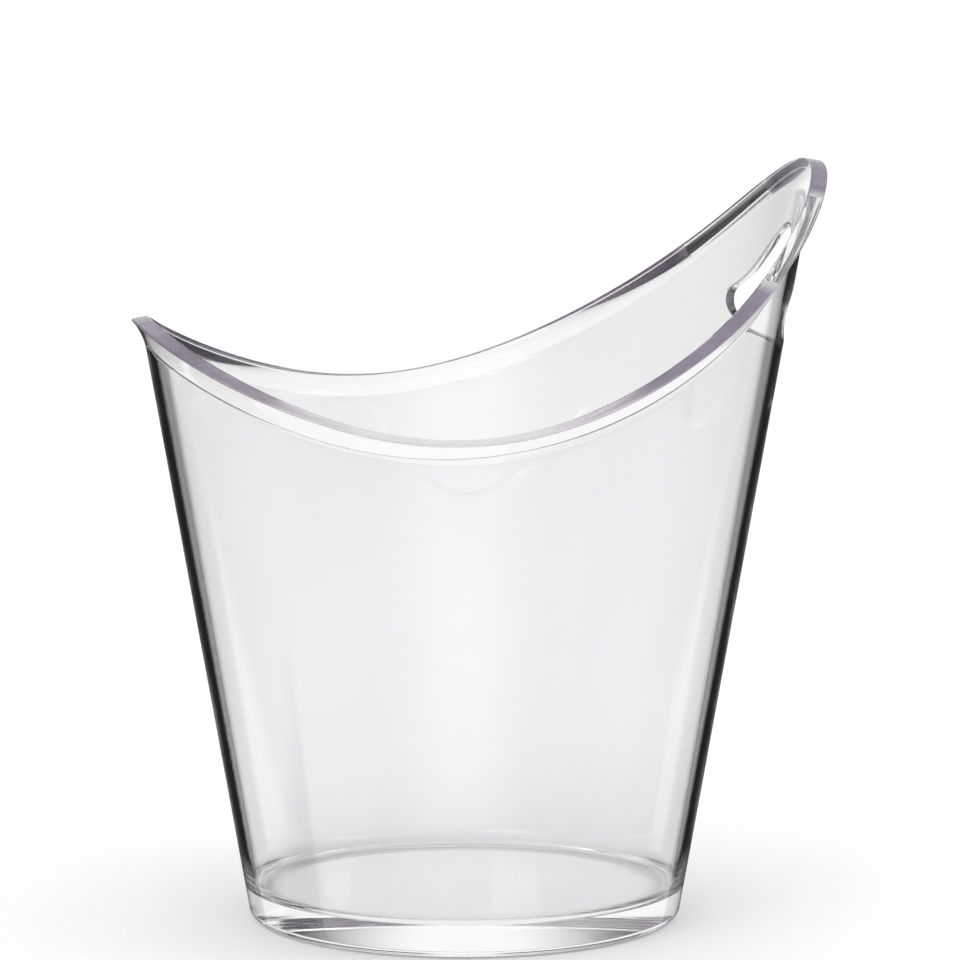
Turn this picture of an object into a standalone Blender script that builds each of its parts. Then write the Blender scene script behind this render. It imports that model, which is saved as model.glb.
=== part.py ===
"""Clear champagne bucket with a swooping rim and a finger slot, moulded in one piece.

A tapered round wall stands on a thick solid base. The wall swells outwards into a lip with a
flat top face. The rim rises to a carrying grip on the +X side, dips at the front and back, and
rises again to a low tip on the -X side. A finger slot goes through the wall under the grip.

Metres, +Z up. The origin is the middle of the flat underside, and the bucket is the same on
both sides of the XZ plane.
"""

import math

import bmesh
import bpy

# Wall and base
FOOT_RADIUS = 0.0839  # outer wall carried down to the underside
WALL_TAPER = 0.175  # growth of the outer radius for each metre of height
WALL_THICKNESS = 0.0033
BASE_THICKNESS = 0.0125
FOOT_ROUND = 0.0040  # radius of the outer edge under the wall
FLOOR_FILLET = 0.0060  # radius of the corner between the floor and the inner wall

# Height of the rim's outer edge, as waves around the bucket and two local rises
RIM_MEAN = 0.2262
RIM_TILT = 0.0193  # lifts the grip side and lowers the tip side
RIM_SADDLE = 0.0249  # lifts both ends and lowers the front and back
GRIP_RISE = 0.0227
GRIP_SHARPNESS = 14
TIP_RISE = 0.0032
TIP_SHARPNESS = 30

# Lip
LIP_HEIGHT = 0.0120  # where the wall starts to swell, below the rim's outer edge
LIP_FLARE = 0.0039  # how far the outer edge stands out from the wall
GRIP_FLARE = 0.0022  # how much further the whole lip leans out at the grip
TOP_SLOPE = math.radians(9.5)  # the top face falls outwards
OUTER_EDGE_ROUND = 0.0006  # radius of the top face's outer edge
INNER_EDGE_ROUND = 0.0006  # radius of the top face's inner edge

# Finger slot, cut straight through along X
SLOT_HALF_WIDTH = 0.0450
SLOT_MIDDLE_Z = 0.2366  # height of the slot's two rounded ends
SLOT_DROP = 0.0120  # from the ends' height down to the lower edge
SLOT_SHOULDER = 0.0050  # from the ends' height up to the start of the arch
SLOT_ARCH = 0.0267  # rise of the arch above its shoulders
SLOT_ARCH_HALF_WIDTH = 0.0460
SLOT_EDGE_ROUND = 0.0007

# Fineness of the faceted solid
COLUMNS = 120
ROUND_STEPS = 3
FLARE_STEPS = 5
SLOT_STEPS = 56


def rim_height(angle):
    """Height of the rim's outer edge at an angle round the bucket, 0 at the grip."""
    towards_grip = (1.0 + math.cos(angle)) / 2.0
    waves = RIM_MEAN + RIM_TILT * math.cos(angle) + RIM_SADDLE * math.cos(2.0 * angle)
    grip = GRIP_RISE * towards_grip**GRIP_SHARPNESS
    tip = TIP_RISE * (1.0 - towards_grip) ** TIP_SHARPNESS
    return waves + grip + tip


def wall_radius(height):
    """Outer radius of the plain tapered wall at a height."""
    return FOOT_RADIUS + WALL_TAPER * height


def grip_lean(angle):
    """How much further the lip leans out at an angle, all of it at the grip."""
    return GRIP_FLARE * ((1.0 + math.cos(angle)) / 2.0) ** 2


def top_width():
    """Width of the lip's top face, measured level."""
    return WALL_THICKNESS + LIP_FLARE


def rounded_corner(corner, radius, before, after):
    """Arc (radius, height) over a corner between two faces, given by the directions they look in.

    A negative radius fills an inside corner.
    """
    middle = (before + after) / 2.0
    reach = radius / math.cos((after - before) / 2.0)
    centre_radius = corner[0] - reach * math.cos(middle)
    centre_height = corner[1] - reach * math.sin(middle)
    points = []
    for step in range(ROUND_STEPS + 1):
        turn = before + (after - before) * step / ROUND_STEPS
        points.append((centre_radius + radius * math.cos(turn), centre_height + radius * math.sin(turn)))
    return points


def foot_points():
    """Rounded outer edge between the underside and the wall."""
    return rounded_corner((FOOT_RADIUS, 0.0), FOOT_ROUND, -math.pi / 2.0, -math.atan(WALL_TAPER))


def outer_lip_points(angle):
    """Outside of the lip, from the start of the swelling up to the rounded outer edge."""
    top = rim_height(angle)
    flare = LIP_FLARE + grip_lean(angle)
    points = []
    for step in range(FLARE_STEPS):
        rise = step / FLARE_STEPS
        height = top - LIP_HEIGHT * (1.0 - rise)
        points.append((wall_radius(height) + flare * rise**2, height))
    edge = (wall_radius(top) + flare, top)
    side_lean = math.atan(WALL_TAPER + 2.0 * flare / LIP_HEIGHT)
    return points + rounded_corner(edge, OUTER_EDGE_ROUND, -side_lean, math.pi / 2.0 - TOP_SLOPE)


def inner_lip_points(angle):
    """Rounded inner edge of the top face, then the inside of the lip down to the plain wall."""
    lean = grip_lean(angle)
    top = rim_height(angle) + top_width() * math.tan(TOP_SLOPE)
    edge = (wall_radius(top) - WALL_THICKNESS + lean, top)
    side_lean = math.atan(WALL_TAPER + 2.0 * lean / LIP_HEIGHT)
    points = rounded_corner(edge, INNER_EDGE_ROUND, math.pi / 2.0 - TOP_SLOPE, math.pi - side_lean)
    for step in range(1, FLARE_STEPS + 1):
        fall = step / FLARE_STEPS
        height = top - LIP_HEIGHT * fall
        points.append((wall_radius(height) - WALL_THICKNESS + lean * (1.0 - fall) ** 2, height))
    return points


def floor_points():
    """Fillet between the inner wall and the floor."""
    corner = (wall_radius(BASE_THICKNESS) - WALL_THICKNESS, BASE_THICKNESS)
    wall_faces = math.pi - math.atan(WALL_TAPER)
    return rounded_corner(corner, -FLOOR_FILLET, wall_faces, math.pi / 2.0)


def profile(angle):
    """Section of the bucket at one angle, from the underside, over the rim, to the floor."""
    return foot_points() + outer_lip_points(angle) + inner_lip_points(angle) + floor_points()


def slot_outline():
    """Outline of the finger slot as (y, z): a shallow dish below and a bell-shaped arch above."""
    points = []
    for step in range(SLOT_STEPS):
        turn = 2.0 * math.pi * (step + 0.5) / SLOT_STEPS
        across = math.cos(turn)
        y = SLOT_HALF_WIDTH * across
        if math.sin(turn) < 0.0:
            z = SLOT_MIDDLE_Z - SLOT_DROP * math.sqrt(1.0 - abs(across) ** 3)
        else:
            arch = SLOT_ARCH * (1.0 + math.cos(math.pi * y / SLOT_ARCH_HALF_WIDTH)) / 2.0
            ends = math.sqrt(1.0 - across**16)
            z = SLOT_MIDDLE_Z + SLOT_SHOULDER * ends + arch * ends
        points.append((y, z))
    return points


def remove_everything():
    """Clear the scene of the objects it starts with."""
    for item in list(bpy.data.objects):
        bpy.data.objects.remove(item, do_unlink=True)


def add_object(name, bm):
    """Turn a bmesh into a named object in the scene."""
    mesh = bpy.data.meshes.new(name)
    bmesh.ops.recalc_face_normals(bm, faces=bm.faces)
    bm.to_mesh(mesh)
    bm.free()
    item = bpy.data.objects.new(name, mesh)
    bpy.context.scene.collection.objects.link(item)
    return item


def add_body():
    """The whole bucket before the slot is cut: one closed skin of rings and two flat discs."""
    bm = bmesh.new()
    sections = []
    for column in range(COLUMNS):
        angle = 2.0 * math.pi * column / COLUMNS
        turned = [(r * math.cos(angle), r * math.sin(angle), z) for r, z in profile(angle)]
        sections.append([bm.verts.new(point) for point in turned])
    rings = list(zip(*sections))
    for lower, upper in zip(rings, rings[1:]):
        for column in range(COLUMNS):
            beside = (column + 1) % COLUMNS
            bm.faces.new((lower[column], lower[beside], upper[beside], upper[column]))
    bm.faces.new(rings[0])
    bm.faces.new(rings[-1])
    return add_object("bucket", bm)


def add_slot_cutter():
    """Bar with the slot's outline, long enough to pass through the wall under the grip."""
    near = wall_radius(SLOT_MIDDLE_Z) * 0.6
    far = wall_radius(SLOT_MIDDLE_Z) * 1.4
    bm = bmesh.new()
    outline = bm.faces.new([bm.verts.new((near, y, z)) for y, z in slot_outline()])
    swept = bmesh.ops.extrude_face_region(bm, geom=[outline])
    moved = [part for part in swept["geom"] if isinstance(part, bmesh.types.BMVert)]
    bmesh.ops.translate(bm, vec=(far - near, 0.0, 0.0), verts=moved)
    cutter = add_object("slot_cutter", bm)
    cutter.hide_render = True
    cutter.display_type = "WIRE"
    return cutter


def cut_slot(body, cutter):
    """Cut the finger slot and break its two sharp edges."""
    cut = body.modifiers.new("finger_slot", "BOOLEAN")
    cut.operation = "DIFFERENCE"
    cut.solver = "EXACT"
    cut.object = cutter
    bevel = body.modifiers.new("slot_edges", "BEVEL")
    bevel.limit_method = "ANGLE"
    bevel.angle_limit = math.radians(50.0)
    bevel.width = SLOT_EDGE_ROUND
    bevel.segments = 2


def clear_plastic():
    """Colourless, glossy, see-through plastic."""
    material = bpy.data.materials.new("clear_plastic")
    material.use_nodes = True
    shader = material.node_tree.nodes["Principled BSDF"]
    shader.inputs["Base Color"].default_value = (0.95, 0.955, 0.97, 1.0)
    shader.inputs["Metallic"].default_value = 0.0
    shader.inputs["Roughness"].default_value = 0.04
    shader.inputs["IOR"].default_value = 1.49
    shader.inputs["Transmission Weight"].default_value = 1.0
    return material


def main():
    """Build the bucket."""
    remove_everything()
    body = add_body()
    cut_slot(body, add_slot_cutter())
    body.data.materials.append(clear_plastic())
    body.data.shade_smooth()
    body.data.set_sharp_from_angle(angle=math.radians(40.0))


main()
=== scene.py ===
import logging
import math
from dataclasses import dataclass, field
from enum import Enum
from typing import Any

import bpy
import numpy as np
from mathutils import Euler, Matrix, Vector


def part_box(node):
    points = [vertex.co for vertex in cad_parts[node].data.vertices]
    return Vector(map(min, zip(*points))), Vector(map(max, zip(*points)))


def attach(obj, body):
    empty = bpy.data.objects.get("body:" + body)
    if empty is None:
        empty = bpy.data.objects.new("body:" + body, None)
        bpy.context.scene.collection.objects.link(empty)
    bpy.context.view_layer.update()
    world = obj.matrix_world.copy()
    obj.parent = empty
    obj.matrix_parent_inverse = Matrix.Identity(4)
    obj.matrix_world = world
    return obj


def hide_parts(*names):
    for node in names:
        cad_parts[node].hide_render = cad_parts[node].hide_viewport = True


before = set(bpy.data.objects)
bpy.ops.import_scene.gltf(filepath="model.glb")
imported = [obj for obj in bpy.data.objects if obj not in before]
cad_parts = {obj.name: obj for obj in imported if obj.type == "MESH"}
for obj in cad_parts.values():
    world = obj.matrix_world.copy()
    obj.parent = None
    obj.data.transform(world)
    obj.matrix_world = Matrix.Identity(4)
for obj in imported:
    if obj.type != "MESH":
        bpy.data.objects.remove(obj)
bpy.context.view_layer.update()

LOG = logging.getLogger("champagne_bucket")
BUCKET_NODE = "bucket"
BODY = "root"
# painted light: this attribute sets how strongly the end face shows its painted glow, a colour
# that stands in for light
PAINTED_GLOW = "glow"  # the mesh's attribute that says how strongly the end face glows
BLACK = (0.0, 0.0, 0.0, 1.0)
WHITE = (1.0, 1.0, 1.0, 1.0)


# ---------------------------------------------------------------- shader maths


@dataclass(frozen=True)
class Value:
    """One number on its way through a shader, with Python's operators."""

    sheet: "ShaderSheet"
    socket: bpy.types.NodeSocket

    def _with(self, operation: str, first: Any, second: Any) -> "Value":
        """Add a Math node for one operation."""
        settings = {"operation": operation}
        return self.sheet.value("ShaderNodeMath", settings, {0: first, 1: second})

    def __add__(self, other: Any) -> "Value":
        """self + other."""
        return self._with("ADD", self, other)

    def __radd__(self, other: Any) -> "Value":
        """other + self."""
        return self._with("ADD", other, self)

    def __sub__(self, other: Any) -> "Value":
        """self - other."""
        return self._with("SUBTRACT", self, other)

    def __rsub__(self, other: Any) -> "Value":
        """other - self."""
        return self._with("SUBTRACT", other, self)

    def __mul__(self, other: Any) -> "Value":
        """self * other."""
        return self._with("MULTIPLY", self, other)

    def __rmul__(self, other: Any) -> "Value":
        """other * self."""
        return self._with("MULTIPLY", other, self)

    def size(self) -> "Value":
        """The value without its sign."""
        return self._with("ABSOLUTE", self, 0.0)

    def or_more(self, other: Any) -> "Value":
        """The larger of two values."""
        return self._with("MAXIMUM", self, other)

    def over(self, low: Any, high: Any) -> "Value":
        """Smooth step that is 0 below low and 1 above high."""
        settings = {"interpolation_type": "SMOOTHSTEP"}
        inputs = {"Value": self, "From Min": low, "From Max": high}
        return self.sheet.value("ShaderNodeMapRange", settings, inputs)


class ShaderSheet:
    """One node tree under construction."""

    def __init__(self, owner: Any) -> None:
        """Empty the tree of a material, world or light.

        Args:
            owner: the data block whose node tree is written.
        """
        owner.use_nodes = True
        self.tree = owner.node_tree
        self.tree.nodes.clear()

    def node(self, kind: str, settings: dict[str, Any], inputs: dict[Any, Any]) -> bpy.types.Node:
        """Add a node.

        Args:
            kind: Blender's type name of the node.
            settings: attributes set before the sockets.
            inputs: value, Value or socket for each input, by name or number.

        Returns:
            The new node.
        """
        node = self.tree.nodes.new(kind)
        for name, setting in settings.items():
            setattr(node, name, setting)
        for key, given in inputs.items():
            source = given.socket if isinstance(given, Value) else given
            if isinstance(source, bpy.types.NodeSocket):
                self.tree.links.new(source, node.inputs[key])
            else:
                node.inputs[key].default_value = source
        return node

    def value(
        self, kind: str, settings: dict[str, Any], inputs: dict[Any, Any], output: Any = 0
    ) -> Value:
        """Add a node and wrap one of its outputs as a Value."""
        return Value(self, self.node(kind, settings, inputs).outputs[output])

    def mixed(self, factor: Any, first: Any, second: Any) -> bpy.types.NodeSocket:
        """Mix two colours.

        Args:
            factor: how much of the second colour shows, from 0 to 1.
            first: colour or socket at factor 0.
            second: colour or socket at factor 1.

        Returns:
            The mixed colour's socket.
        """
        inputs = {0: factor, 6: first, 7: second}
        return self.node("ShaderNodeMix", {"data_type": "RGBA"}, inputs).outputs[2]

    def along(self, vector: Any, axis: tuple[float, float, float]) -> Value:
        """How far a vector reaches along an axis of length 1."""
        inputs = {0: vector, 1: axis}
        return self.value("ShaderNodeVectorMath", {"operation": "DOT_PRODUCT"}, inputs, 1)

    def after(self, depth: str) -> Value:
        """Whether the light has bounced in the way that Light Path's output names."""
        return self.value("ShaderNodeLightPath", {}, {}, depth).over(0.0, 1.0)

    def noise(self, where: Any, scale: float, detail: float = 3.0) -> Value:
        """Noise in Object coordinates, from 0 to 1."""
        inputs = {"Vector": where, "Scale": scale, "Detail": detail}
        return self.value("ShaderNodeTexNoise", {}, inputs, "Fac")


# -------------------------------------------------------------------- finishes


class Skin(Enum):
    """Finishes of the bucket's skin, in the order of its material slots."""

    CLEAR = 0
    # the lip's end face, which carries the painted glow
    END_FACE = 1


@dataclass(frozen=True)
class ClearPlastic:
    """Polished colourless plastic with a faint haze and moulding ripples."""

    slot: str = "clear_plastic"
    tint: tuple[float, float, float, float] = (0.970, 0.966, 0.973, 1.0)
    faint_tint: tuple[float, float, float, float] = (0.952, 0.948, 0.956, 1.0)
    refraction: float = 1.49
    polish: float = 0.008
    haze: float = 0.02
    ripple_depth: float = 0.00003
    cloud_scale: float = 9.0
    wipe_scale: float = 38.0
    ripple_scale: float = 26.0

    def material(self) -> bpy.types.Material:
        """Build the finish.

        Returns:
            A see-through material.
        """
        material = bpy.data.materials.new("clear_plastic_polished")
        sheet = ShaderSheet(material)
        place = sheet.node("ShaderNodeTexCoord", {}, {}).outputs["Object"]
        cloud = sheet.noise(place, self.cloud_scale).over(0.35, 0.7)
        wiped = sheet.noise(place, self.wipe_scale, 6.0).over(0.45, 0.8)
        ripple = sheet.noise(place, self.ripple_scale, 1.0)
        bump = sheet.node("ShaderNodeBump", {}, {"Height": ripple, "Distance": self.ripple_depth})
        shader = sheet.node(
            "ShaderNodeBsdfPrincipled",
            {},
            {
                "Base Color": sheet.mixed(cloud, self.tint, self.faint_tint),
                "Roughness": self.polish + self.haze * wiped,
                "IOR": self.refraction,
                "Transmission Weight": 1.0,
                "Normal": bump.outputs[0],
            },
        )
        sheet.node("ShaderNodeOutputMaterial", {}, {"Surface": shader.outputs[0]})
        return material


@dataclass(frozen=True)
class PaintedEdgeGlow:
    """Painted glow of the lip's end face: a lilac grey colour that stands in for the light the
    plastic carries along the length of the wall, where the eye looks down it.

    Where the rim is low the wall below it is short, so the painted glow is paler there.
    """

    # painted light: lilac and grey stand in for light carried along the wall, pale for less of it
    lilac: tuple[float, float, float, float] = (0.335, 0.292, 0.385, 1.0)
    grey: tuple[float, float, float, float] = (0.225, 0.196, 0.248, 1.0)
    pale: tuple[float, float, float, float] = (0.620, 0.600, 0.615, 1.0)
    pale_below: float = 0.202
    full_above: float = 0.226
    clearness: float = 0.35
    refraction: float = 1.30
    shine: float = 0.25
    satin: float = 0.18
    uneven: float = 0.08
    cloud_scale: float = 45.0
    streak_scale: float = 240.0
    cloud_share: float = 0.6
    ragged: float = 0.004

    def material(self) -> bpy.types.Material:
        """Build the end face's painted glow.

        Returns:
            A cloudy, part see-through material with fine grain, whose lilac grey colour is painted
            light.
        """
        material = bpy.data.materials.new("clear_plastic_painted_edge_glow")
        sheet = ShaderSheet(material)
        place = sheet.node("ShaderNodeTexCoord", {}, {}).outputs["Object"]
        height = sheet.value("ShaderNodeSeparateXYZ", {}, {0: place}, 2)
        cloud = sheet.noise(place, self.cloud_scale, 4.0).over(0.34, 0.66)
        streak = sheet.noise(place, self.streak_scale).over(0.3, 0.7)
        greyness = self.cloud_share * cloud + (1.0 - self.cloud_share) * streak
        colour = sheet.mixed(greyness, self.lilac, self.grey)
        # painted glow fades to pale where the rim is low, and to pale where the glow attribute is
        # 0
        tall = (height + self.ragged * cloud).over(self.pale_below, self.full_above)
        strength = sheet.value("ShaderNodeAttribute", {"attribute_name": PAINTED_GLOW}, {}, "Fac")
        shader = sheet.node(
            "ShaderNodeBsdfPrincipled",
            {},
            {
                "Base Color": sheet.mixed(tall * strength, self.pale, colour),
                "Roughness": self.satin + self.uneven * streak,
                "IOR": self.refraction,
                "Transmission Weight": self.clearness,
                "Specular IOR Level": self.shine,
            },
        )
        sheet.node("ShaderNodeOutputMaterial", {}, {"Surface": shader.outputs[0]})
        return material


@dataclass(frozen=True)
class PaleFloor:
    """Matt near-white floor, which the plastic doesn't mirror, with a painted pool of light under
    the bucket's foot.
    """

    pale: tuple[float, float, float, float] = (0.90, 0.90, 0.905, 1.0)
    paler: tuple[float, float, float, float] = (0.93, 0.93, 0.935, 1.0)
    # painted light: how strongly the floor glows in the painted pool of light under the bucket's
    # foot
    painted_spot_light: float = 0.35
    spot_edge: float = 0.0800
    spot_softness: float = 0.0100
    roughness: float = 0.9
    cloud_scale: float = 1.5

    def material(self) -> bpy.types.Material:
        """Build the finish.

        Returns:
            A matt material that lets mirrored light through to the surround, with a painted pool
            of light, a glowing spot, under the bucket's foot.
        """
        material = bpy.data.materials.new("pale_floor")
        sheet = ShaderSheet(material)
        place = sheet.node("ShaderNodeTexCoord", {}, {}).outputs["Object"]
        away = sheet.value("ShaderNodeVectorMath", {"operation": "LENGTH"}, {0: place}, 1)
        outside = away.over(self.spot_edge - self.spot_softness, self.spot_edge)
        cloud = sheet.noise(place, self.cloud_scale)
        matt = sheet.node(
            "ShaderNodeBsdfPrincipled",
            {},
            {
                "Base Color": sheet.mixed(cloud, self.pale, self.paler),
                "Roughness": self.roughness,
                # painted pool of light: the floor glows white inside the spot under the bucket's
                # foot
                "Emission Color": sheet.mixed(outside, WHITE, BLACK),
                "Emission Strength": self.painted_spot_light,
            },
        )
        clear = sheet.node("ShaderNodeBsdfTransparent", {}, {})
        inputs = {0: sheet.after("Glossy Depth"), 1: matt.outputs[0], 2: clear.outputs[0]}
        either = sheet.node("ShaderNodeMixShader", {}, inputs)
        sheet.node("ShaderNodeOutputMaterial", {}, {"Surface": either.outputs[0]})
        return material


@dataclass(frozen=True)
class Flag:
    """Black card low down in the studio. Seen in the plastic, it draws the dark outlines."""

    heading: float
    lowest: float
    highest: float = 0.0
    half_width: float = math.radians(42.0)
    gap: float = 0.0
    side_softness: float = 0.03
    level_softness: float = 0.04

    def cover(self, sheet: ShaderSheet, way: Any, up: Value) -> Value:
        """How far a direction looks at the card.

        The card covers the directions whose distance aside is less than the tangent of its half
        width times their distance ahead, and more than the same for its gap.

        Args:
            sheet: the shader that asks.
            way: direction of length 1.
            up: the direction's rise.

        Returns:
            1 on the card, 0 off it.
        """
        middle = (math.cos(self.heading), math.sin(self.heading), 0.0)
        beside = (-math.sin(self.heading), math.cos(self.heading), 0.0)
        ahead, aside = sheet.along(way, middle), sheet.along(way, beside).size()
        within = (math.tan(self.half_width) * ahead - aside).over(0.0, self.side_softness)
        soft = self.level_softness
        above = up.over(self.highest - soft / 2.0, self.highest + soft / 2.0)
        level = up.over(self.lowest, self.lowest + soft) * (1.0 - above)
        if self.gap:
            within = within * (aside - math.tan(self.gap) * ahead).over(-soft, soft)
        return within * level


# --------------------------------------------------------------- bucket shape


@dataclass(frozen=True)
class RimLine:
    """Height of the lip's outer edge: two waves round the bucket and two local rises."""

    mean: float = 0.2262
    tilt: float = 0.0193
    saddle: float = 0.0249
    grip_rise: float = 0.0227
    grip_sharpness: float = 14.0
    tip_rise: float = 0.0032
    tip_sharpness: float = 30.0

    def height(self, angle: np.ndarray) -> np.ndarray:
        """Height at each angle: mean + tilt cos a + saddle cos 2a + both rises.

        Args:
            angle: angles round the bucket, 0 at the grip.

        Returns:
            Heights of the lip's outer edge in metres.
        """
        towards_grip = (1.0 + np.cos(angle)) / 2.0
        waves = self.mean + self.tilt * np.cos(angle) + self.saddle * np.cos(2.0 * angle)
        grip = self.grip_rise * towards_grip**self.grip_sharpness
        tip = self.tip_rise * (1.0 - towards_grip) ** self.tip_sharpness
        return waves + grip + tip


@dataclass(frozen=True)
class FingerSlot:
    """Outline of the finger slot in (y, z): a shallow dish below, a bell-shaped arch above."""

    half_width: float = 0.0450
    middle_z: float = 0.2366
    drop: float = 0.0120
    shoulder: float = 0.0050
    arch: float = 0.0267
    arch_half_width: float = 0.0460
    edge_round: float = 0.0010
    finer: int = 8

    def outline(self, count: int) -> np.ndarray:
        """Closed outline, from its lowest point towards +y, up and round.

        y = half width times the cosine of a turn. Below the middle, z falls by drop times
        sqrt(1 - |cos|^3). Above it, z rises by the shoulder and a raised-cosine arch, both
        faded out at the ends by sqrt(1 - cos^16).

        Args:
            count: number of points.

        Returns:
            Points (y, z), evenly spaced along the outline.
        """
        turn = np.linspace(-math.pi / 2.0, 1.5 * math.pi, self.finer * count + 1)
        across = np.cos(turn)
        y = self.half_width * across
        dish = self.drop * np.sqrt(np.clip(1.0 - np.abs(across) ** 3, 0.0, None))
        bell = self.arch * (1.0 + np.cos(math.pi * y / self.arch_half_width)) / 2.0
        ends = np.sqrt(np.clip(1.0 - across**16, 0.0, None))
        z = np.where(np.sin(turn) < 0.0, -dish, (self.shoulder + bell) * ends)
        points = np.stack([y, self.middle_z + z], axis=-1)
        steps = np.linalg.norm(np.diff(points, axis=0), axis=1)
        length = np.concatenate([[0.0], np.cumsum(steps)])
        even = np.linspace(0.0, length[-1], count, endpoint=False)
        return np.stack([np.interp(even, length, points[:, k]) for k in range(2)], axis=-1)


@dataclass
class BucketMoulding:
    """The whole bucket as one closed skin: a turned section with a varying rim, and the slot."""

    foot_radius: float = 0.0839
    taper: float = 0.175
    wall: float = 0.0033
    base: float = 0.0125
    foot_round: float = 0.0040
    floor_fillet: float = 0.0060
    lip_height: float = 0.0120
    lip_flare: float = 0.0039
    grip_flare: float = 0.0022
    top_slope: float = math.radians(9.5)
    outer_edge_round: float = 0.0006
    inner_edge_round: float = 0.0006
    columns: int = 432
    patch_columns: int = 29
    patch_start: float = 0.745
    low_rows: int = 14
    patch_rows: int = 34
    patch_rings: int = 7
    round_rows: int = 6
    lip_rows: int = 17
    lip_stop: float = 0.94
    inside_rows: int = 12
    inside_start: float = 0.08
    face_shares: tuple[float, ...] = (0.04, 0.2, 0.4, 0.6, 0.8, 0.96)
    disc_shares: tuple[float, ...] = (0.12, 0.3, 0.5, 0.7, 0.85, 0.94, 0.98, 0.995)
    outline_points: int = 2048
    # where the end face's painted glow stops, starts again and fades, as angles from the grip
    glow_stops: float = math.radians(17.0)
    glow_starts: float = math.radians(38.0)
    glow_fade: float = math.radians(1.5)
    rim: RimLine = field(default_factory=RimLine)
    slot: FingerSlot = field(default_factory=FingerSlot)

    def outer_radius(self, height: np.ndarray) -> np.ndarray:
        """Outer radius of the plain wall: foot radius plus taper times height."""
        return self.foot_radius + self.taper * height

    def inner_radius(self, height: np.ndarray) -> np.ndarray:
        """Inner radius of the plain wall: the outer radius less the wall."""
        return self.outer_radius(height) - self.wall

    def grip_lean(self, angle: np.ndarray) -> np.ndarray:
        """How much further the lip leans out, grip flare times ((1 + cos a) / 2) squared."""
        return self.grip_flare * ((1.0 + np.cos(angle)) / 2.0) ** 2

    @staticmethod
    def rows(radius: np.ndarray, height: np.ndarray) -> np.ndarray:
        """Stack radii and heights into rows of (radius, height)."""
        return np.stack(np.broadcast_arrays(radius, height), axis=-1)

    def rounded(
        self,
        edge: tuple[np.ndarray, np.ndarray],
        radius: float,
        before: np.ndarray,
        after: np.ndarray,
    ) -> np.ndarray:
        """Round an edge of the section with an arc.

        The arc's centre lies radius / cos(half the turn) from the edge, along the middle of the
        two directions that the faces look in. A negative radius fills an inside corner.

        Args:
            edge: radius and height of the sharp edge for each column.
            radius: radius of the arc.
            before: direction in which the face before the edge looks.
            after: direction in which the face after the edge looks.

        Returns:
            Rows of (radius, height).
        """
        middle = (before + after) / 2.0
        reach = radius / np.cos((after - before) / 2.0)
        share = np.linspace(0.0, 1.0, self.round_rows + 1)[:, None]
        turn = before + (after - before) * share
        across = edge[0] - reach * np.cos(middle) + radius * np.cos(turn)
        up = edge[1] - reach * np.sin(middle) + radius * np.sin(turn)
        return self.rows(across, up)

    def disc(self, radius: float, height: float, outwards: bool) -> np.ndarray:
        """Rings of a flat round face, close together near its edge.

        Args:
            radius: radius of the face.
            height: height of the face.
            outwards: whether the rings run from the middle to the edge.

        Returns:
            Rows of (radius, height), without the edge itself.
        """
        share = np.array(self.disc_shares if outwards else self.disc_shares[::-1])
        ring = np.full((len(share), self.columns), height)
        return self.rows(radius * share[:, None] * np.ones(self.columns), ring)

    def wall_shares(self) -> np.ndarray:
        """Shares of the wall's height at its rows: few low down, many beside the slot."""
        low = np.linspace(0.0, self.patch_start, self.low_rows + 1)
        high = np.linspace(self.patch_start, 1.0, self.patch_rows + 1)
        return np.concatenate([low, high[1:]])[:, None]

    def glow(self, angle: np.ndarray) -> np.ndarray:
        """How strongly the end face shows its painted glow.

        The painted glow shows everywhere but in the two clear stretches beside the grip, where the
        finger slot cuts the light off. The strength is the angle past the nearer end of a clear
        stretch over the fading angle, kept between 0 and 1.

        Args:
            angle: angles round the bucket, 0 at the grip.

        Returns:
            Strength at each angle, 0 in the clear stretches.
        """
        from_grip = np.abs((angle + math.pi) % (2.0 * math.pi) - math.pi)
        beyond = np.maximum(self.glow_stops - from_grip, from_grip - self.glow_starts)
        return np.clip(beyond / self.glow_fade, 0.0, 1.0)

    def section(self, angle: np.ndarray) -> tuple[np.ndarray, np.ndarray, np.ndarray]:
        """Section of the bucket at every angle.

        It runs from the middle of the underside up the outside, over the lip and down the inside
        to the middle of the floor. Radius is the plain wall's, and both sides of the lip move out
        by a flare times the square of the share of the lip's height.

        Args:
            angle: angles of the columns.

        Returns:
            Rows of (radius, height); each row's finish; and the numbers of the four rows that
            bound the slot's patches (outer low and high, inner low and high).
        """
        upright = np.ones_like(angle)
        wall_lean = math.atan(self.taper)
        top = self.rim.height(angle)
        lean = self.grip_lean(angle)
        parts: list[tuple[np.ndarray, Skin]] = []

        foot_edge = (self.foot_radius * upright, 0.0 * upright)
        wall_out, down = -wall_lean * upright, -math.pi / 2.0 * upright
        foot = self.rounded(foot_edge, self.foot_round, down, wall_out)
        parts.append((self.disc(float(foot[0, 0, 0]), 0.0, True), Skin.CLEAR))
        parts.append((foot, Skin.CLEAR))

        crease = top - self.lip_height
        start = float(foot[-1, 0, 1])
        height = start + (crease - start) * self.wall_shares()[1:]
        outer_low = sum(len(rows) for rows, _ in parts) + self.low_rows - 1
        outer_high = outer_low + self.patch_rows
        parts.append((self.rows(self.outer_radius(height), height), Skin.CLEAR))

        flare = self.lip_flare + lean
        rise = np.linspace(0.0, self.lip_stop, self.lip_rows + 1)[1:, None]
        height = crease + self.lip_height * rise
        parts.append((self.rows(self.outer_radius(height) + flare * rise**2, height), Skin.CLEAR))
        side_lean = np.arctan(self.taper + 2.0 * flare / self.lip_height)
        top_faces = (math.pi / 2.0 - self.top_slope) * upright
        outer_edge = (self.outer_radius(top) + flare, top)
        outer_round = self.rounded(outer_edge, self.outer_edge_round, -side_lean, top_faces)

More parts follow.
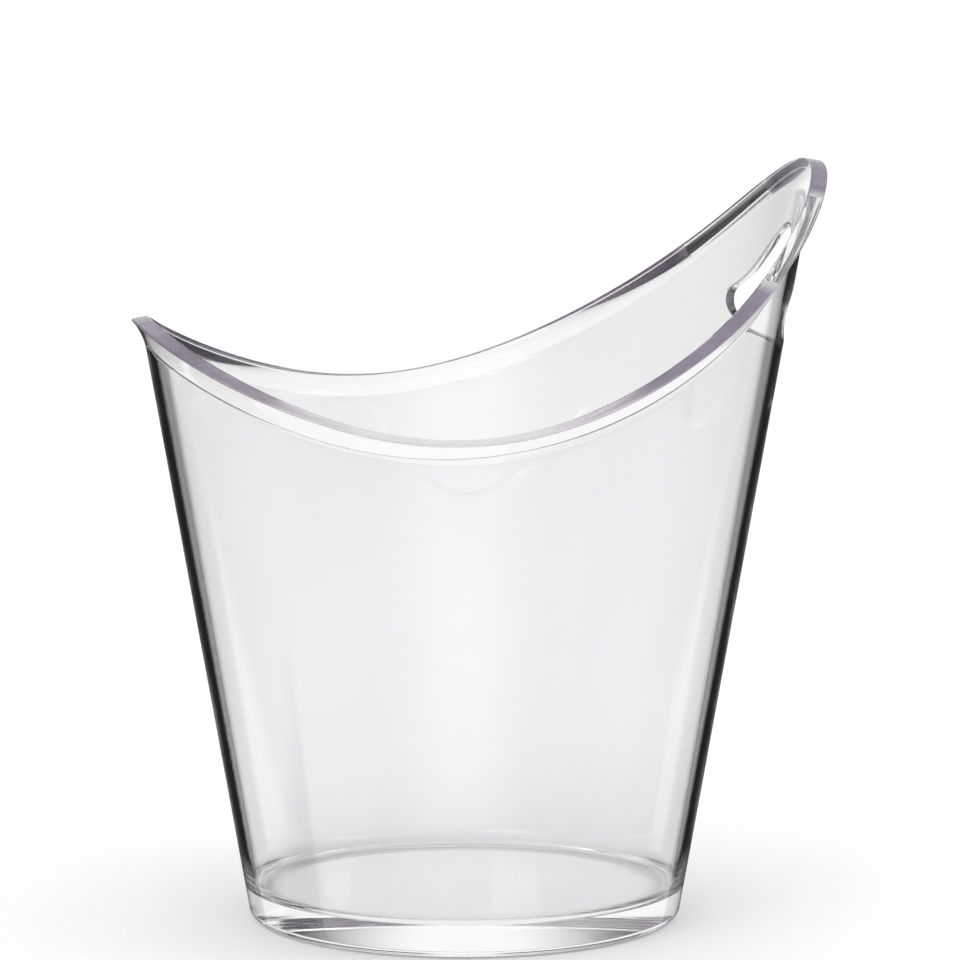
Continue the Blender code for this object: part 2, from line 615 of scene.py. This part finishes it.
        inner_top = top + (self.wall + self.lip_flare) * math.tan(self.top_slope)
        inner_edge = (self.inner_radius(inner_top) + lean, inner_top)
        inwards = math.pi - np.arctan(self.taper + 2.0 * lean / self.lip_height)
        inner_round = self.rounded(inner_edge, self.inner_edge_round, top_faces, inwards)
        share = np.array(self.face_shares)[:, None, None]
        face = outer_round[-1] + (inner_round[0] - outer_round[-1]) * share
        parts += [(outer_round, Skin.END_FACE), (face, Skin.END_FACE), (inner_round, Skin.CLEAR)]

        fall = np.linspace(self.inside_start, 1.0, self.inside_rows)[:, None]
        height = inner_top - self.lip_height * fall
        lip_inside = self.inner_radius(height) + lean * (1.0 - fall) ** 2
        parts.append((self.rows(lip_inside, height), Skin.CLEAR))
        inner_high = sum(len(rows) for rows, _ in parts) - 1
        inner_low = inner_high + self.patch_rows

        floor_edge = (self.inner_radius(self.base) * upright, self.base * upright)
        wall_faces = (math.pi - wall_lean) * upright
        fillet = self.rounded(floor_edge, -self.floor_fillet, wall_faces, math.pi / 2.0 * upright)
        stop = float(fillet[0, 0, 1])
        height = stop + (inner_top - self.lip_height - stop) * self.wall_shares()[::-1][1:-1]
        parts.append((self.rows(self.inner_radius(height), height), Skin.CLEAR))
        parts.append((fillet, Skin.CLEAR))
        parts.append((self.disc(float(fillet[-1, 0, 0]), self.base, False), Skin.CLEAR))

        rows = np.concatenate([part for part, _ in parts])
        skins = np.concatenate([np.full(len(part), skin.value) for part, skin in parts])
        return rows, skins, np.array([outer_low, outer_high, inner_low, inner_high])

    def patch_loop(self, low: int, high: int) -> np.ndarray:
        """Numbers of the skin's points round the patch that holds the slot.

        Args:
            low: row along the patch's lower side.
            high: row along its upper side.

        Returns:
            Point numbers, from the lower left corner along the bottom, up, back and down.
        """
        half = self.patch_columns
        step = 1 if high > low else -1
        up = np.arange(low, high, step)
        down = np.arange(high, low, -step)
        across = np.arange(-half, half)
        rows = np.concatenate([np.full(2 * half, low), up, np.full(2 * half, high), down])
        back = np.arange(half, -half, -1)
        columns = np.concatenate([across, np.full(len(up), half), back, np.full(len(down), -half)])
        return rows * self.columns + columns % self.columns

    def slot_points(self, loop: np.ndarray) -> tuple[np.ndarray, np.ndarray]:
        """Pair each point of a patch's loop with a point of the slot's outline.

        Both are measured along their own length from the bottom middle, and the shares match.

        Args:
            loop: points (y, z) round the patch.

        Returns:
            The outline's points, and the same points moved out by the edge's rounding.
        """
        count = self.outline_points
        outline = self.slot.outline(count)
        ahead, behind = np.roll(outline, -1, axis=0), np.roll(outline, 1, axis=0)
        along = (ahead - behind) / np.linalg.norm(ahead - behind, axis=1)[:, None]
        outwards = np.stack([along[:, 1], -along[:, 0]], axis=-1)
        wider = outline + self.slot.edge_round * outwards
        steps = np.linalg.norm(np.roll(loop, -1, axis=0) - loop, axis=1)
        length = np.concatenate([[0.0], np.cumsum(steps)])
        share = (length[:-1] - length[self.patch_columns]) / length[-1]
        at = (share % 1.0) * count
        grid = np.arange(count + 1)
        closed = [np.concatenate([line, line[:1]]) for line in (outline, wider)]
        on_edge, beyond = (
            np.stack([np.interp(at, grid, line[:, k]) for k in range(2)], axis=-1)
            for line in closed
        )
        return on_edge, beyond

    def on_wall(self, flat: np.ndarray, radius: np.ndarray) -> np.ndarray:
        """Lift points (y, z) on to a wall: x = sqrt(radius^2 - y^2)."""
        x = np.sqrt(radius**2 - flat[..., 0] ** 2)
        return np.concatenate([x[..., None], flat], axis=-1)

    def slot_rings(self, points: np.ndarray, outer: np.ndarray, inner: np.ndarray) -> np.ndarray:
        """Rings of points from the outer patch's loop, through the slot, to the inner loop.

        On each wall the rings slide evenly from the loop to the slot. Each edge of the slot is a
        quarter turn from the wall's surface to the slot's own wall, which runs along x.

        Args:
            points: the skin's points.
            outer: loop of point numbers on the outer wall.
            inner: loop of point numbers on the inner wall.

        Returns:
            Array (rings, points round the loop, 3), without the two loops themselves.
        """
        outline, wider = self.slot_points(points[outer][:, 1:])
        share = np.linspace(0.0, 1.0, self.patch_rings + 1)[1:, None, None]
        quarter = np.linspace(0.0, math.pi / 2.0, self.round_rows + 1)[1:, None, None]
        sides = []
        walls = ((outer, self.outer_radius, -1.0), (inner, self.inner_radius, 1.0))
        for loop, wall, inwards in walls:
            flat = points[loop][:, 1:] * (1.0 - share) + wider * share
            patch = self.on_wall(flat, wall(flat[..., 1]))
            corner = self.on_wall(outline, wall(outline[:, 1]))
            deep = np.array([inwards * self.slot.edge_round, 0.0, 0.0])
            flush = (1.0 - np.sin(quarter)) * (patch[-1] - corner)
            turned = corner + flush + (1.0 - np.cos(quarter)) * deep
            sides.append(np.concatenate([patch, turned]))
        middle = (sides[0][-1] + sides[1][-1])[None] / 2.0
        return np.concatenate([sides[0], middle, sides[1][::-1]])

    @staticmethod
    def quads(rings: np.ndarray) -> np.ndarray:
        """Corners of the quads between neighbouring closed rings of point numbers."""
        beside = np.roll(rings, -1, axis=1)
        return np.stack([rings[:-1], beside[:-1], beside[1:], rings[1:]], axis=-1)

    def build(self) -> bpy.types.Object:
        """Work out the whole skin and make it a mesh object.

        Returns:
            The bucket, closed and facing out.
        """
        angle = 2.0 * math.pi * np.arange(self.columns) / self.columns
        rows, row_skin, (outer_low, outer_high, inner_low, inner_high) = self.section(angle)
        radius, height = rows[..., 0], rows[..., 1]
        skin = np.stack([radius * np.cos(angle), radius * np.sin(angle), height], axis=-1)
        count = len(skin)
        points = skin.reshape(-1, 3)

        number = np.arange(count * self.columns).reshape(count, self.columns)
        keep = np.ones((count - 1, self.columns), bool)
        window = np.arange(-self.patch_columns, self.patch_columns) % self.columns
        for first, last in ((outer_low, outer_high), (inner_high, inner_low)):
            keep[first:last, window] = False
        end_face = (row_skin[:-1] == row_skin[1:]) & (row_skin[1:] == Skin.END_FACE.value)
        # painted light: end face faces take the painted glow finish wherever the glow strength is
        # above 0
        glow = self.glow(angle)
        lit = np.maximum(glow, np.roll(glow, -1)) > 0.0
        skins = np.where(end_face[:, None] & lit, Skin.END_FACE.value, Skin.CLEAR.value)
        quads, skins = self.quads(number)[keep], skins[keep]

        outer = self.patch_loop(outer_low, outer_high)
        inner = self.patch_loop(inner_low, inner_high)
        rings = self.slot_rings(points, outer, inner)
        ring_number = len(points) + np.arange(rings.shape[0] * rings.shape[1])
        ring_number = ring_number.reshape(rings.shape[:2])
        slot_quads = self.quads(np.concatenate([outer[None], ring_number, inner[None]]))

        middles = np.array([[0.0, 0.0, 0.0], [0.0, 0.0, self.base]])
        all_points = np.concatenate([points, rings.reshape(-1, 3), middles])
        all_glow = np.zeros(len(all_points))
        all_glow[: len(points)] = np.tile(glow, count)
        under, floor = len(all_points) - 2, len(all_points) - 1
        beside = np.roll(number, -1, axis=1)
        under_fan = np.stack([np.full(self.columns, under), beside[0], number[0]], axis=-1)
        floor_fan = np.stack([number[-1], beside[-1], np.full(self.columns, floor)], axis=-1)
        four_cornered = np.concatenate([quads, slot_quads.reshape(-1, 4)])
        faces = [four_cornered, np.concatenate([under_fan, floor_fan])]
        return self.to_object("clear_bucket_moulding", all_points, faces, skins, all_glow)

    @staticmethod
    def to_object(
        name: str, points: np.ndarray, faces: list[np.ndarray], skins: np.ndarray, glow: np.ndarray
    ) -> bpy.types.Object:
        """Make a smooth mesh object from arrays, without the points that no face uses.

        Args:
            name: name of the object.
            points: all points.
            faces: arrays of point numbers, one array for each number of corners.
            skins: finishes of the first faces. The rest are clear.
            glow: strength of the end face's painted glow at each point.

        Returns:
            The new object, linked to the scene.
        """
        used = np.unique(np.concatenate([part.ravel() for part in faces]))
        renumber = np.zeros(len(points), np.int32)
        renumber[used] = np.arange(len(used))
        corners = np.concatenate([renumber[part].ravel() for part in faces])
        sizes = np.concatenate([np.full(len(part), part.shape[1]) for part in faces])
        starts = np.concatenate([[0], np.cumsum(sizes)[:-1]])
        mesh = bpy.data.meshes.new(name)
        mesh.vertices.add(len(used))
        mesh.vertices.foreach_set("co", points[used].astype(np.float32).ravel())
        mesh.loops.add(len(corners))
        mesh.loops.foreach_set("vertex_index", corners.astype(np.int32))
        mesh.polygons.add(len(sizes))
        mesh.polygons.foreach_set("loop_start", starts.astype(np.int32))
        finishes = np.full(len(sizes), Skin.CLEAR.value, np.int32)
        finishes[: len(skins)] = skins
        mesh.polygons.foreach_set("material_index", finishes)
        mesh.update(calc_edges=True)
        mesh.validate()
        mesh.shade_smooth()
        attribute = mesh.attributes.new(PAINTED_GLOW, "FLOAT", "POINT")
        attribute.data.foreach_set("value", glow[used].astype(np.float32))
        item = bpy.data.objects.new(name, mesh)
        bpy.context.scene.collection.objects.link(item)
        return item

    def dress(self, item: bpy.types.Object, clear: ClearPlastic, glow: PaintedEdgeGlow) -> None:
        """Give the bucket its plastic and its end face's painted glow, and tie it to the frame.

        Args:
            item: the bucket.
            clear: finish of everything but the end face.
            glow: painted glow of the lip's end face, a colour that stands in for light.
        """
        # the end face's finish is a painted glow
        finishes = {Skin.CLEAR: clear.material(), Skin.END_FACE: glow.material()}
        for skin in Skin:
            item.data.materials.append(finishes[skin])
        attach(item, BODY)
        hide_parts(BUCKET_NODE)


# ---------------------------------------------------------------------- studio


@dataclass(frozen=True)
class Softbox:
    """Soft lamp with a square-cornered face."""

    name: str
    place: tuple[float, float, float]
    size: tuple[float, float]
    power: float

    def hang(self, aim: tuple[float, float, float]) -> None:
        """Hang the lamp, looking at a point.

        Args:
            aim: the point in metres.
        """
        data = bpy.data.lights.new(self.name, "AREA")
        data.shape = "RECTANGLE"
        data.size, data.size_y = self.size
        data.energy = self.power
        item = bpy.data.objects.new(self.name, data)
        item.location = self.place
        way = Vector(aim) - Vector(self.place)
        item.rotation_euler = way.to_track_quat("-Z", "Y").to_euler()
        bpy.context.scene.collection.objects.link(item)


@dataclass
class Studio:
    """Pale floor, soft lamps, a bright surround and the camera.

    The sides, the ceiling and the horizon are where a direction of length 1 reaches so far aside
    or up.
    """

    floor_radius: float = 9.0
    floor_gap: float = 0.0004
    floor_corners: int = 96
    surround: float = 1.12
    seen_through: float = 1.02
    strip_light: float = 1.0
    ground_light: float = 0.9
    side_light: float = 0.05
    flag_light: float = 0.015
    side_from: float = 0.1
    side_to: float = 0.7
    ceiling_low: float = 0.45
    ceiling_high: float = 0.80
    horizon: float = 0.02
    bounces: int = 48
    matt_bounces: int = 3
    lamp_aim: tuple[float, float, float] = (0.0, 0.0, 0.15)
    camera_distance: float = 1.925
    camera_height: float = 0.423
    camera_turn: float = math.radians(-9.2)
    camera_pitch: float = math.radians(7.47)
    camera_aside: float = math.radians(0.18)
    lens: float = 187.5

    def floor(self, finish: PaleFloor) -> bpy.types.Object:
        """Lay the floor, a large flat disc just under the bucket.

        Args:
            finish: the floor's finish.

        Returns:
            The floor.
        """
        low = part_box(BUCKET_NODE)[0].z - self.floor_gap
        angle = 2.0 * math.pi * np.arange(self.floor_corners) / self.floor_corners
        ring = np.stack([np.cos(angle), np.sin(angle), 0.0 * angle], axis=-1)
        points = ring * self.floor_radius + np.array([0.0, 0.0, low])
        mesh = bpy.data.meshes.new("floor")
        mesh.from_pydata(points.tolist(), [], [list(range(len(points)))])
        mesh.materials.append(finish.material())
        item = bpy.data.objects.new("floor", mesh)
        bpy.context.scene.collection.objects.link(item)
        return item

    def flags(self) -> list[Flag]:
        """Black cards across from the front, the right side and two corners."""
        return [
            Flag(heading=math.pi / 2.0 + self.camera_turn, lowest=-0.40, gap=math.radians(6.0)),
            Flag(heading=math.pi, lowest=-0.20),
            Flag(heading=math.radians(135.0), lowest=-0.65, highest=-0.41),
            Flag(heading=math.radians(-45.0), lowest=-0.36),
        ]

    def softboxes(self) -> list[Softbox]:
        """Key lamp at the front left and fill lamp at the right."""
        return [
            Softbox("key_softbox", place=(-1.3, -1.6, 2.0), size=(1.2, 1.2), power=9.0),
            Softbox("fill_softbox", place=(1.8, -0.6, 1.5), size=(0.8, 1.4), power=5.0),
        ]

    def surroundings(self) -> None:
        """Light the surround.

        It is white seen directly, and a little less through the plastic, so that clear walls
        stand out. Mirrored, it is pale below but for the flags. Above, it is white overhead,
        before and behind, and darkens towards both sides.
        """
        world = bpy.data.worlds.new("studio")
        bpy.context.scene.world = world
        sheet = ShaderSheet(world)
        way = sheet.node("ShaderNodeTexCoord", {}, {}).outputs["Generated"]
        across = (math.cos(self.camera_turn), math.sin(self.camera_turn), 0.0)
        aside = sheet.along(way, across).size()
        up = sheet.value("ShaderNodeSeparateXYZ", {}, {0: way}, 2)
        overhead = up.over(self.ceiling_low, self.ceiling_high)
        shaded = aside.over(self.side_from, self.side_to) * (1.0 - overhead)
        above = self.strip_light - (self.strip_light - self.side_light) * shaded
        carded: Any = 0.0
        for flag in self.flags():
            carded = flag.cover(sheet, way, up).or_more(carded)
        below = self.ground_light - (self.ground_light - self.flag_light) * carded
        high = up.over(-self.horizon, self.horizon)
        mirrored = above * high + below * (1.0 - high)
        dimming = (self.surround - self.seen_through) * sheet.after("Transmission Depth")
        bounced = sheet.after("Glossy Depth")
        strength = (self.surround - dimming) * (1.0 - bounced) + mirrored * bounced
        back = sheet.node("ShaderNodeBackground", {}, {"Color": WHITE, "Strength": strength})
        sheet.node("ShaderNodeOutputWorld", {}, {"Surface": back.outputs[0]})

    def camera(self) -> bpy.types.Object:
        """Set up the camera with a long lens, a little above the rim.

        Returns:
            The camera.
        """
        data = bpy.data.cameras.new("camera")
        data.lens = self.lens
        item = bpy.data.objects.new("camera", data)
        turn = self.camera_turn
        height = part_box(BUCKET_NODE)[0].z + self.camera_height
        sideways = self.camera_distance * math.sin(turn)
        item.location = (sideways, -self.camera_distance * math.cos(turn), height)
        tilt = math.pi / 2.0 - self.camera_pitch
        item.rotation_euler = Euler((tilt, 0.0, turn - self.camera_aside), "XYZ")
        bpy.context.scene.collection.objects.link(item)
        bpy.context.scene.camera = item
        return item

    def light_paths(self) -> None:
        """Let light run the length of the wall, and show colours as they are."""
        scene = bpy.context.scene
        scene.cycles.max_bounces = self.bounces
        scene.cycles.glossy_bounces = self.bounces
        scene.cycles.transmission_bounces = self.bounces
        scene.cycles.diffuse_bounces = self.matt_bounces
        scene.view_settings.view_transform = "Standard"

    def build(self) -> None:
        """Set the whole studio up."""
        self.floor(PaleFloor())
        self.surroundings()
        for softbox in self.softboxes():
            softbox.hang(self.lamp_aim)
        self.camera()
        self.light_paths()


def main() -> None:
    """Build the bucket and the studio, in order."""
    logging.basicConfig(level=logging.INFO, format="%(name)s: %(message)s")
    moulding = BucketMoulding()
    bucket = moulding.build()
    moulding.dress(bucket, ClearPlastic(), PaintedEdgeGlow())
    mesh = bucket.data
    LOG.info("%s: %d points, %d faces", bucket.name, len(mesh.vertices), len(mesh.polygons))
    Studio().build()
    LOG.info("studio is set up")


if __name__ == "__main__":
    main()
